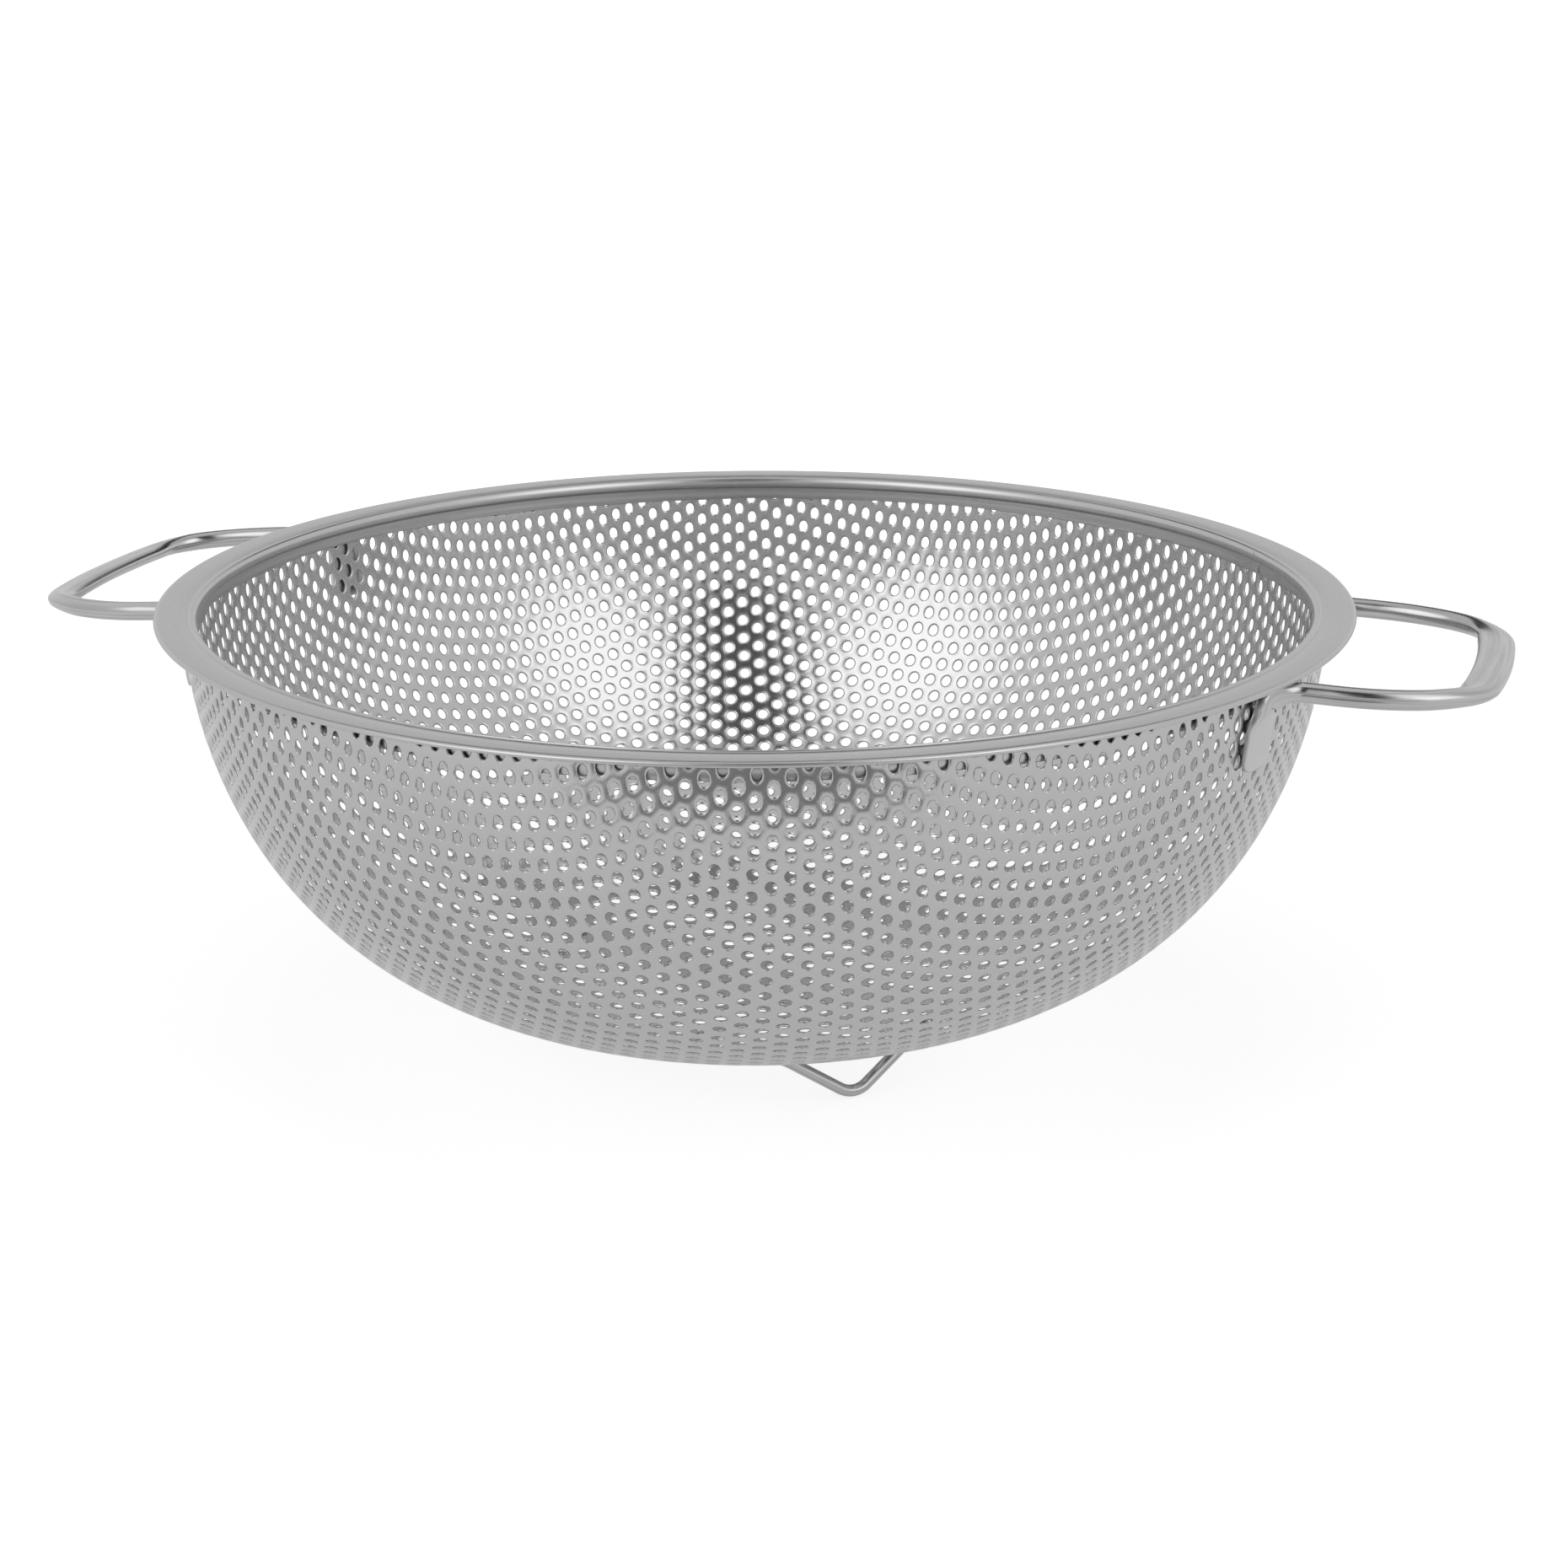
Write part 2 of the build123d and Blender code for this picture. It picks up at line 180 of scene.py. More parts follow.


# %% [markdown]
# ## Steel finishes
#
# Stainless steel has no colour of its own: it shows the room, and its finish decides how sharply. The sheet
# of the bowl is satin, the ring is brushed round its circle, and rods and wires are drawn, so their fine
# lines run along them. Each finish is one metallic shader, with lines and stains that change the roughness
# by a few percent and a Bump of hundredths of a millimetre. On rods and wires the lines also darken and
# lighten the colour, partly as drawn grain and partly as painted reflection streaks, and near the rim the
# handles' tabs are painted paler, a painted sheen for their lit faces.

# %% Steel finishes
STEEL = 0.55
SOFT_STAIN_SCALE = 14.0
GRAIN_SCALE = 900.0
BRUSH_FINENESS = 6000.0
BRUSH_LENGTH = 9.0
TAB_FADE = (0.1335, 0.1385)


def new_steel(name):
    """Start a steel material; return it, its shader node and a signal to build sums from."""
    material = bpy.data.materials.new(name)
    material.use_nodes = True
    shader = material.node_tree.nodes["Principled BSDF"]
    shader.inputs["Metallic"].default_value = 1.0
    return material, shader, Signal(material.node_tree)


def join(signal, shader, socket):
    """Link a signal to a socket of the shader."""
    signal.tree.links.new(signal.socket, shader.inputs[socket])


def noise(start, vector, scale, detail=2.0, rough=0.5):
    """Value noise over a vector, from 0 to 1."""
    plugs = {"Vector": vector, "Scale": scale, "Detail": detail, "Roughness": rough}
    return start.node("ShaderNodeTexNoise", None, plugs)


def stretched(start, vector, sizes):
    """Vector times three sizes, one for each axis."""
    return start.node("ShaderNodeVectorMath", {"operation": "MULTIPLY"}, {0: vector, 1: sizes})


def satin_sheet():
    """Satin sheet of the bowl: an even finish with soft stains and a faint grain."""
    material, shader, start = new_steel("satin_sheet")
    place = start.node("ShaderNodeTexCoord", output=3)
    stain = noise(start, place, SOFT_STAIN_SCALE, 3.0)
    grain = noise(start, place, GRAIN_SCALE, 2.0)
    join(0.17 + 0.05 * stain + 0.03 * grain, shader, "Roughness")
    tone = stain.ramp(0.3, 0.7)
    join(tone.blend(grey(STEEL * 0.98), grey(STEEL * 1.02)), shader, "Base Color")
    bump = start.node("ShaderNodeBump", None, {"Strength": 0.35, "Distance": 0.00003, "Height": grain})
    join(bump, shader, "Normal")
    return material


def brushed_ring():
    """Brushed ring: fine lines that follow the circle, read from radius and height alone."""
    material, shader, start = new_steel("brushed_ring")
    place = start.node("ShaderNodeTexCoord", output=3)
    split = start.node("ShaderNodeSeparateXYZ", None, {0: place})
    x, y = split, Signal(split.tree, split.socket.node.outputs[1])
    height = Signal(split.tree, split.socket.node.outputs[2])
    radius = (x * x + y * y) ** 0.5
    around = start.sum("ARCTAN2", y, x)
    axes = {0: radius * BRUSH_FINENESS, 1: height * BRUSH_FINENESS, 2: around * BRUSH_LENGTH}
    line_place = start.node("ShaderNodeCombineXYZ", None, axes)
    lines = noise(start, line_place, 1.0, 3.0, 0.6)
    stain = noise(start, place, SOFT_STAIN_SCALE, 3.0)
    join(0.22 + 0.08 * lines + 0.05 * stain, shader, "Roughness")
    tone = lines.ramp(0.25, 0.75)
    join(tone.blend(grey(STEEL * 0.95), grey(STEEL * 1.04)), shader, "Base Color")
    bump = start.node("ShaderNodeBump", None, {"Strength": 0.25, "Distance": 0.00003, "Height": lines})
    join(bump, shader, "Normal")
    return material


def drawn_rod(name, smooth, tab_matt_and_painted_sheen):
    """Drawn rod or wire: lines along it, partly drawn grain, partly painted reflection streaks; the tab is matt with
    a painted sheen.
    """
    material, shader, start = new_steel(name)
    along = start.node("ShaderNodeUVMap", {"uv_map": "length_and_turn"})
    lines = noise(start, stretched(start, along, (0.02, 14.0, 1.0)), 1.0, 3.0, 0.6)
    spots = noise(start, stretched(start, along, (0.4, 1.6, 1.0)), 1.2, 3.0)
    place = start.node("ShaderNodeTexCoord", output=3)
    level = stretched(start, place, (1, 1, 0))
    tab = 1 - start.node("ShaderNodeVectorMath", {"operation": "LENGTH"}, {0: level}, 1).ramp(*TAB_FADE)
    join(smooth + 0.07 * lines + 0.06 * spots + tab * tab_matt_and_painted_sheen, shader, "Roughness")
    # Colour swing along the lines: partly drawn grain, partly painted reflection streaks that stand in for the room's
    # dark and light bands.
    rod = lines.ramp(0.3, 0.7).blend(grey(STEEL * 0.76), grey(STEEL * 1.1))
    # Near the rim the tab is matt and its colour is painted paler: a painted sheen for its lit face.
    join((tab * (tab_matt_and_painted_sheen * 8)).blend(rod, grey(STEEL * 1.12)), shader, "Base Color")
    bump = start.node("ShaderNodeBump", None, {"Strength": 0.4, "Distance": 0.00008, "Height": lines})
    join(bump, shader, "Normal")
    return material


SHEET_FINISH = satin_sheet()
RING_FINISH = brushed_ring()
HANDLE_FINISH = drawn_rod("handle_steel", 0.15, 0.12)
FOOT_FINISH = drawn_rod("foot_steel", 0.12, 0.0)
print("finishes:", [m.name for m in (SHEET_FINISH, RING_FINISH, HANDLE_FINISH, FOOT_FINISH)])

# %% [markdown]
# ## The bowl's profile
#
# The bowl was drawn over a form of three arcs: a steep wall, a tight knuckle and an almost flat base. They
# are tangent, so two radii follow from the mouth and the depth. Every point of the skin is then found from
# one number, the distance along the outside from the rim.

# %% Profile of the bowl
SHEET = 0.6
MOUTH_RADIUS = RIM_RADIUS - 6.6
BOWL_DEPTH = 98.1
KNUCKLE_RADIUS = 88.8
WALL_TURN, BASE_TURN = math.radians(26.4), math.radians(90 - 5.5)


def profile_arcs():
    """Wall, knuckle and base arcs as (radius, centre r, centre depth, start turn, start distance)."""
    across = MOUTH_RADIUS - KNUCKLE_RADIUS * (math.cos(WALL_TURN) - math.cos(BASE_TURN))
    down = BOWL_DEPTH - KNUCKLE_RADIUS * (math.sin(BASE_TURN) - math.sin(WALL_TURN))
    unit = np.array([[1 - math.cos(WALL_TURN), math.cos(BASE_TURN)],
                     [math.sin(WALL_TURN), 1 - math.sin(BASE_TURN)]])
    wall, base = np.linalg.solve(unit, [across, down])
    hub_r = MOUTH_RADIUS - wall + (wall - KNUCKLE_RADIUS) * math.cos(WALL_TURN)
    hub_down = (wall - KNUCKLE_RADIUS) * math.sin(WALL_TURN)
    first = wall * WALL_TURN
    second = first + KNUCKLE_RADIUS * (BASE_TURN - WALL_TURN)
    base_down = hub_down + (KNUCKLE_RADIUS - base) * math.sin(BASE_TURN)
    return [(wall, MOUTH_RADIUS - wall, 0.0, 0.0, 0.0), (KNUCKLE_RADIUS, hub_r, hub_down, WALL_TURN, first),
            (base, 0.0, base_down, BASE_TURN, second)]


ARCS = profile_arcs()
WALL_LENGTH = ARCS[2][4] + ARCS[2][0] * (math.pi / 2 - BASE_TURN)


def skin(distance, inset):
    """Radius and height of the skin that lies inset from the outside, at distances from the rim."""
    distance = np.asarray(distance, float)
    which = np.digitize(distance, [ARCS[1][4], ARCS[2][4]])
    radius, hub_r, hub_down, turn, start = np.array(ARCS).T[:, which]
    turn = turn + (distance - start) / radius
    return hub_r + (radius - inset) * np.cos(turn), RIM_TOP - hub_down - (radius - inset) * np.sin(turn)


print("wall, knuckle and base radii", [round(arc[0], 1) for arc in ARCS], "length", round(WALL_LENGTH, 2))

# %% [markdown]
# ## From the flat blank to the bowl
#
# The holes were punched in a flat disc, in rows at sixty degrees, before the disc was drawn. Drawing squeezes
# the metal round the bowl and stretches it down the wall, so near the rim the holes stand close together and
# upright, and the rows bend. A disc of rolled sheet also stretches more one way than the other. The map below
# says where a spot of the bowl lay on the disc, in hole pitches. Each point of the mesh is laid out on the disc
# and carried to the bowl by solving that map backwards, a few steps at a time for all the points at once.

# %% Map between the blank and the bowl
ROW_DIRECTION = -1.515
BLANK_OFFSET = complex(-0.17, 31.79)
BLANK_AZIMUTH = math.radians(17.2)
RADIAL_GROWTH = (33.22, 8.70, -6.38)
SOLVER_STEPS = 30


def blank_from_bowl(azimuth, share):
    """Place on the blank, less the azimuth, of a spot at a share of the way from the axis to the rim."""
    angle = azimuth - ROW_DIRECTION
    double, square, cube = 2 * angle, share**2, share**3
    outward = sum(growth * share ** (power + 1) for power, growth in enumerate(RADIAL_GROWTH))
    outward += square * (0.77 * np.cos(double) + 0.44 * np.sin(double) + 0.25 * np.cos(4 * angle))
    outward -= 0.43 * cube * np.cos(3 * angle)
    sideways = (1.90 * square**2 - 2.02 * square) * np.sin(double) - 0.35 * cube * np.sin(4 * angle)
    return outward + 1j * sideways


def bowl_from_blank(place):
    """Azimuth and distance from the rim, for places on the blank."""
    azimuth = np.angle(place)
    share = np.abs(place) / 36.0
    for _ in range(SOLVER_STEPS):
        found = blank_from_bowl(azimuth, share)
        turned = place * np.exp(-1j * azimuth) / np.where(np.abs(found) < 1e-9, 1.0, found)
        azimuth = azimuth + np.where(np.abs(found) < 1e-9, 0.0, np.angle(turned))
        share = np.maximum(share + (np.abs(place) - np.abs(found)) / RADIAL_GROWTH[0], 0.0)
    return azimuth + BLANK_AZIMUTH, WALL_LENGTH * (1 - share)


# %% [markdown]
# ## The perforated sheet
#
# Each hole owns a six-sided cell of the blank. A cell is three rings of twelve points: the cell's border,
# a ring at the hole's shoulder, and the hole's edge, which sinks a little because punching and polishing
# round it. That is done on both skins, and the two edges are joined through the sheet. The sheet ends in a
# straight edge under the ring's flange, which cuts through some cells and their holes.

# %% Cells of the blank
HOLE_RADIUS = 0.283
SHOULDER_RADIUS = 0.375
EDGE_SINK = 0.12
SHOULDER_SINK = 0.015
CELL_POINTS = 12
TOP_DISTANCE = 1.2
LEAST_CUT_HOLE = 0.5
CELL_COUNT = 45
BLANK_REACH = 39


def cell_centres():
    """Centres on the blank of all cells that may touch the bowl, in pitches."""
    count = np.arange(-CELL_COUNT, CELL_COUNT + 1)
    step = np.exp(1j * (ROW_DIRECTION - math.pi / 3))
    along = np.exp(1j * ROW_DIRECTION)
    offset = BLANK_OFFSET
    rows = np.round(offset.imag / along.imag)
    offset = offset - rows * along
    centres = (offset + count[:, None] * step + count[None, :] * along).ravel()
    nearest = centres[np.argmin(np.abs(centres))]
    print("nearest hole to the axis, in pitches:", round(abs(nearest), 3))
    return centres[np.abs(centres) < BLANK_REACH]


def cell_ring(centres, radii):
    """Twelve points round each centre, at one radius or at radii that alternate."""
    angles = ROW_DIRECTION + np.arange(CELL_POINTS) * math.pi / 6
    return centres[:, None] + (radii * np.exp(1j * angles))[None, :]


CENTRES = cell_centres()
BORDER = cell_ring(CENTRES, np.where(np.arange(CELL_POINTS) % 2, 1 / math.sqrt(3), 0.5))
hole_lows = bowl_from_blank(cell_ring(CENTRES, HOLE_RADIUS))[1].max(1)
border_distance = bowl_from_blank(BORDER)[1]
PIERCED = hole_lows > TOP_DISTANCE + LEAST_CUT_HOLE
PLAIN = ~PIERCED & (border_distance.max(1) > TOP_DISTANCE)
print("holes:", int(PIERCED.sum()), "plain cells at the rim:", int(PLAIN.sum()))

# %% [markdown]
# The border points are shared by neighbouring cells, so equal points are merged by rounding their places. All
# points get a place on the blank and a sink below their own skin, and only then turn into the bowl's shape.
# A bowl of this many holes is one sheet in reality. Here it is stored as four quarters, with normals worked
# out on the whole sheet, so that no seam shows between them.

# %% Points and faces of the sheet
RIPPLE_EVEN, RIPPLE_RIM = 0.02, 0.075


def ring_quads(outside, inside):
    """Quads between two rings of point numbers, one row of each per cell."""
    ahead = np.roll(np.arange(outside.shape[1]), -1)
    quads = np.stack([outside, outside[:, ahead], inside[:, ahead], inside], -1)
    return quads.reshape(-1, 4)


def build_sheet():
    """Return the outer skin's places and sinks, its quads and fans, the holes' walls, and their cells."""
    border = np.concatenate([BORDER[PIERCED], BORDER[PLAIN]])
    key = np.round(border * 1e4)
    _, first, number = np.unique(key.ravel(), return_index=True, return_inverse=True)
    shared = border.ravel()[first]
    number = number.reshape(border.shape)
    holes, plain = int(PIERCED.sum()), int(PLAIN.sum())
    shoulder = cell_ring(CENTRES[PIERCED], SHOULDER_RADIUS)
    edge = cell_ring(CENTRES[PIERCED], HOLE_RADIUS)
    places = np.concatenate([shared, shoulder.ravel(), edge.ravel(), CENTRES[PLAIN]])
    sinks = np.zeros(len(places))
    shoulder_start = len(shared)
    edge_start = shoulder_start + shoulder.size
    sinks[shoulder_start:edge_start] = SHOULDER_SINK
    sinks[edge_start:edge_start + edge.size] = EDGE_SINK
    shoulder_number = shoulder_start + np.arange(shoulder.size).reshape(holes, -1)
    edge_number = edge_start + np.arange(edge.size).reshape(holes, -1)
    middle_number = edge_start + edge.size + np.arange(plain)
    quads = np.concatenate([ring_quads(number[:holes], shoulder_number), ring_quads(shoulder_number, edge_number)])
    fans = np.stack([number[holes:], np.roll(number[holes:], -1, 1)], -1).reshape(-1, 2)
    fans = np.column_stack([fans, np.repeat(middle_number, CELL_POINTS), np.repeat(middle_number, CELL_POINTS)])
    walls = ring_quads(edge_number, edge_number + len(places))
    wall_cell = np.repeat(np.arange(holes), CELL_POINTS)
    return places, sinks, quads, fans, walls, np.concatenate([wall_cell, wall_cell]), wall_cell


places, sinks, quads, fans, walls, quad_cell, wall_cell = build_sheet()
azimuth, distance = bowl_from_blank(places)
clamped = distance <= TOP_DISTANCE
distance = np.maximum(distance, TOP_DISTANCE)


def ripple():
    """How far the sheet stands out between its holes, in millimetres: drawing leaves soft ridges there."""
    even, steep = -1.0, 0.0
    for turn in range(3):
        across = np.exp(-1j * (ROW_DIRECTION + math.pi / 6 + turn * math.pi / 3))
        wave = np.cos(4 * math.pi / math.sqrt(3) * ((places - BLANK_OFFSET) * across).real)
        even = even + wave
        steep = steep + wave * ((places * across).real / np.maximum(np.abs(places), 1e-6))**4
    share = np.clip(1 - distance / WALL_LENGTH, 0, 1)
    return -RIPPLE_EVEN * even / 4 - RIPPLE_RIM * share**4 * steep


def skin_points(inset):
    """Points of one skin, in millimetres."""
    radius, height = skin(distance, inset - ripple())
    return np.column_stack([radius * np.cos(azimuth), radius * np.sin(azimuth), height])


points = np.concatenate([skin_points(sinks), skin_points(SHEET - sinks)])
fans = fans[~clamped[fans].all(1)]
kept, kept_walls = ~clamped[quads].all(1), ~clamped[walls[:, :2]].all(1)
quads, quad_cell, walls, wall_cell = quads[kept], quad_cell[kept], walls[kept_walls], wall_cell[kept_walls]
print("points:", len(points), "quads per skin:", len(quads), "fan triangles:", len(fans))

# %% [markdown]
# ## Meshes from numbers
#
# One helper makes every mesh below: it takes points in millimetres and faces as rows of point numbers, adds a
# texture map where one is given, smooths the shading and hangs the piece on the object's one body.

# %% Make a mesh


def make_piece(name, points, faces, material, nodes, uv=None, normals=None, uv_name="length_and_turn"):
    """Make one visible piece from points in millimetres, and let it stand for solids of the frame."""
    mesh = bpy.data.meshes.new(name)
    mesh.from_pydata((np.asarray(points) * MM).tolist(), [], [list(face) for face in faces])
    if uv is not None:
        layer = mesh.uv_layers.new(name=uv_name)
        layer.data.foreach_set("uv", np.asarray(uv, np.float32).ravel())
    mesh.polygons.foreach_set("use_smooth", np.ones(len(mesh.polygons), bool))
    if normals is not None:
        mesh.normals_split_custom_set_from_vertices(normals.tolist())
    mesh.materials.append(material)
    piece = bpy.data.objects.new(name, mesh)
    bpy.context.scene.collection.objects.link(piece)
    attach(piece, "root")
    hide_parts(*nodes)
    print(name, "faces:", len(mesh.polygons))
    return piece


# %% [markdown]
# ## Four quarters
#
# The two skins, the walls of the holes and the strip along the top edge make one closed sheet. Its normals are
# worked out here, once for all of it. Each quarter then takes the faces of a quarter turn and has a texture map
# of its own: the outside lies in the lower half of the map and the inside, turned round, in the upper half.

# %% Quarters of the sheet
QUARTERS = 4
MAP_SCALE = 0.68 / 37.5
MAP_MARGIN = 0.01
INSIDE_EDGE_SHARE, OUTSIDE_EDGE_SHARE = 0.55, 0.95


def vertex_normals(points, quads):
    """Normals of all points, each the sum of the crossed diagonals of its faces."""
    crossed = np.cross(points[quads[:, 2]] - points[quads[:, 0]], points[quads[:, 3]] - points[quads[:, 1]])
    total = np.zeros_like(points)
    for corner in range(4):
        np.add.at(total, quads[:, corner], crossed)
    return total / np.maximum(np.linalg.norm(total, axis=1, keepdims=True), 1e-12)


def rim_edge():
    """Quads that close the sheet's top edge: they join the two skins along the free edges of clamped points."""
    half = len(places)
    outside = np.concatenate([quads, fans])
    starts, ends = outside.ravel(), np.roll(outside, -1, 1).ravel()
    free = clamped[starts] & clamped[ends] & (starts != ends) & ~np.isin(starts * half + ends, ends * half + starts)
    starts, ends = starts[free], ends[free]
    return np.column_stack([ends, starts, starts + half, ends + half])


def sheet_faces():
    """All faces of the sheet as quads or doubled-corner triangles, and the azimuth that sorts each face."""
    half = len(places)
    outside = np.concatenate([quads, fans])
    inside = outside[:, ::-1] + half
    edge = rim_edge()
    faces = np.concatenate([outside, inside, walls, edge])
    cell_azimuth = np.angle(CENTRES[PIERCED])
    fan_azimuth = np.angle(places[fans[:, 2]])
    one_side = np.concatenate([cell_azimuth[quad_cell], fan_azimuth])
    edge_azimuth = azimuth[edge[:, 0]] - BLANK_AZIMUTH
    return faces, np.concatenate([one_side, one_side, cell_azimuth[wall_cell], edge_azimuth]), len(outside)


sheet, face_azimuth, skin_faces = sheet_faces()
normals = vertex_normals(points, sheet)
quarter_of = np.floor((face_azimuth % (2 * math.pi)) / (2 * math.pi / QUARTERS)).astype(int) % QUARTERS
blank_place = np.concatenate([places, places])
wall_start = 2 * skin_faces
for quarter in range(QUARTERS):
    rows = np.flatnonzero(quarter_of == quarter)
    used, local = np.unique(sheet[rows], return_inverse=True)
    local = local.reshape(-1, 4)
    turn = np.exp(-1j * quarter * 2 * math.pi / QUARTERS)
    faces, uv = [], []
    for row, corners in zip(rows, local):
        flat = blank_place[sheet[row]] * turn
        if wall_start <= row < wall_start + len(walls):
            centre = CENTRES[PIERCED][wall_cell[row - wall_start]] * turn
            share = np.where(sheet[row] >= len(places), INSIDE_EDGE_SHARE, OUTSIDE_EDGE_SHARE)
            flat = centre + (flat - centre) * share
        spot = np.column_stack([flat.real, flat.imag]) * MAP_SCALE + MAP_MARGIN
        if skin_faces <= row < wall_start:
            spot = 1 - spot
        keep = [0, 1, 2, 3]
        if corners[2] == corners[3]:
            keep = [0, 1, 2]
        elif corners[0] == corners[1]:
            keep = [1, 2, 3]
        faces.append([int(corners[k]) for k in keep])
        uv.extend(spot[keep].tolist())
    make_piece(f"bowl_quarter_{quarter + 1}", points[used], faces, SHEET_FINISH,
               ["perforated_bowl"], uv, normals[used], "OFBake")

# %% [markdown]
# ## The rim ring
#
# The ring is one strip, rolled into a circle: its outer edge is folded back under itself, the flange is flat,
# then a shallow crease leads into a rounded lip, and the strip ends in a skirt that hides the sheet's cut edge
# inside the bowl. The section is turned about the axis point by point, because the skirt's lower edge isn't
# quite level and the strip's two ends leave a narrow notch where they meet.

# %% Section of the ring
HEM = 1.28
LIP_RADIUS = MOUTH_RADIUS - 3.4
SKIRT_RADIUS = LIP_RADIUS + 1.72
SKIRT_LOW = 6.6
SEAM_AZIMUTH = math.radians(35.1)


def arc(centre, radii, start, end, steps):
    """Points of an elliptic arc between two angles in degrees."""
    angles = np.radians(np.linspace(start, end, steps))
    return [(centre[0] + radii[0] * math.cos(a), centre[1] + radii[1] * math.sin(a)) for a in angles]


def ring_section():
    """Closed section of the ring, as (radius, height above the rim's top)."""
    nose = arc((139.1, -HEM / 2), (0.9, HEM / 2), -90, 90, 11)
    top = [(138.4, 0.0), (137.4, -0.01), (136.2, -0.03), (135.0, -0.07), (134.0, -0.14), (133.2, -0.24)]
    crease = [(132.6, -0.35), (132.15, -0.40), (131.8, -0.33), (131.45, -0.16)]
    lip = arc((LIP_RADIUS + 1.2, -1.8), (1.2, 1.72), 78, 180, 11)
    face = [(LIP_RADIUS + 0.02, -2.1), (LIP_RADIUS + 0.18, -2.5), (LIP_RADIUS + 0.6, -2.8)]
    face += [(LIP_RADIUS + 1.2, -3.0), (SKIRT_RADIUS - 0.12, -3.25), (SKIRT_RADIUS, -3.6)]
    skirt = [(SKIRT_RADIUS, -5.0), (SKIRT_RADIUS, -6.4), (SKIRT_RADIUS + 0.08, -SKIRT_LOW)]
    skirt += [(SKIRT_RADIUS + 0.37, -SKIRT_LOW), (SKIRT_RADIUS + 0.45, -6.4), (SKIRT_RADIUS + 0.45, -5.0)]
    back = [(SKIRT_RADIUS + 0.45, -3.7), (SKIRT_RADIUS + 0.1, -2.9), (LIP_RADIUS + 0.9, -2.4)]
    back += [(LIP_RADIUS + 0.6, -2.0), (LIP_RADIUS + 0.6, -1.2), (LIP_RADIUS + 1.0, -0.75)]
    back += [(MOUTH_RADIUS - 1.0, -0.7), (MOUTH_RADIUS + 0.1, -0.7)]
    fold = [(MOUTH_RADIUS + 0.15, -1.05), (MOUTH_RADIUS + 0.3, -HEM)]
    return nose + top + crease + lip + face + skirt + back + fold


def ring_azimuths():
    """Azimuths of the ring's columns, closer together at the seam."""
    even = np.linspace(0, 2 * math.pi, 385)[:-1]
    near = SEAM_AZIMUTH + np.radians([-0.5, -0.3, -0.2, -0.1, 0.0, 0.1, 0.2, 0.3, 0.5])
    even = even[np.abs(even - SEAM_AZIMUTH) > math.radians(0.7)]
    return np.sort(np.concatenate([even, near]))


def skirt_edge(angle):
    """How far the skirt's lower edge stands above its nominal depth, in millimetres."""
    wave = 0.16 * np.sin(5 * angle + 0.4) + 0.10 * np.sin(13 * angle + 2.1) + 0.07 * np.sin(29 * angle + 4.0)
    notch = np.clip(1 - np.abs(angle - SEAM_AZIMUTH) / math.radians(0.22), 0, 1)
    return 0.3 + wave + 3.0 * notch


ring_profile = np.array(ring_section())
ring_angles = ring_azimuths()
columns, corners = len(ring_angles), len(ring_profile)
corner = np.arange(corners)
radius = np.repeat(ring_profile[None, :, 0], columns, 0)
height = np.repeat(ring_profile[None, :, 1], columns, 0)
reach = np.clip((-3.7 - height) / (SKIRT_LOW - 3.7), 0, 1)
height = height + reach * skirt_edge(ring_angles)[:, None]
seam = np.clip(1 - np.abs(ring_angles - SEAM_AZIMUTH) / math.radians(0.1), 0, 1)[:, None]
radius = radius + 0.3 * seam * (corner > np.argmin(ring_profile[:, 0]) - 4) * (corner < corners - 10)
turned = ring_angles[:, None]
ring_points = np.stack([radius * np.cos(turned), radius * np.sin(turned), height + RIM_TOP], -1)
grid = np.arange(columns * corners).reshape(columns, corners)
ahead, above = np.roll(grid, -1, 0), np.roll(grid, -1, 1)
ring_faces = np.stack([grid, ahead, np.roll(ahead, -1, 1), above], -1).reshape(-1, 4)
make_piece("rim", ring_points.reshape(-1, 3), ring_faces.tolist(), RING_FINISH, ["rim_ring"])

# %% [markdown]
# ## Rods and wires
#
# Handles and feet are bent from rod, so each is a row of outlines carried along its centreline. An outline is
# a circle where the rod is round and a rounder or squarer oval where it was pressed flat. The texture map
# stores the length along the rod and the turn round it, and the drawn lines of the finish follow it.

# %% Helpers for rods
ROD_POINTS = 24


def oval(centre, across, up, width, height, power):
    """One outline of a rod: a circle at power 2 and squarer above it."""
    turn = 2 * math.pi * (np.arange(ROD_POINTS) + 0.5) / ROD_POINTS
    x, y = np.cos(turn), np.sin(turn)
    x = np.sign(x) * np.abs(x) ** (2 / power) * width / 2
    y = np.sign(y) * np.abs(y) ** (2 / power) * height / 2
    return np.asarray(centre) + x[:, None] * np.asarray(across) + y[:, None] * np.asarray(up)


def skinned(rings):
    """Points, faces and length-and-turn map of a closed tube over a row of outlines."""
    rings = np.array(rings)
    count, sides = rings.shape[:2]
    grid = np.arange(count * sides).reshape(count, sides)
    middle = rings.mean(1)
    length = np.concatenate([[0], np.cumsum(np.linalg.norm(np.diff(middle, axis=0), axis=1))])
    faces = [grid[0][::-1].tolist(), grid[-1].tolist()]
    uv = [(0.0, side / sides) for side in range(sides)] * 2
    for row in range(count - 1):
        for side in range(sides):
            other = (side + 1) % sides
            faces.append([grid[row, side], grid[row, other], grid[row + 1, other], grid[row + 1, side]])
            uv += [(length[row], side / sides), (length[row], (side + 1) / sides),
                   (length[row + 1], (side + 1) / sides), (length[row + 1], side / sides)]
    return rings.reshape(-1, 3), faces, uv


def ease(share):
    """Smooth step from 0 to 1."""
    share = np.clip(share, 0, 1)
    return share * share * (3 - 2 * share)


# %% [markdown]
# ## Handles
#
# Each handle is one rod. It is pressed flat along the grip, round along its two legs, and hammered flat at each
# end into a tab that is spot welded to the wall. The plan of each half is six tangent arcs. The rod then runs on
# under the flange and turns down in one bend, widening there and below it. The left handle droops more than the
# right one, as in the photograph, and each leg may sit a little lower at the rim.

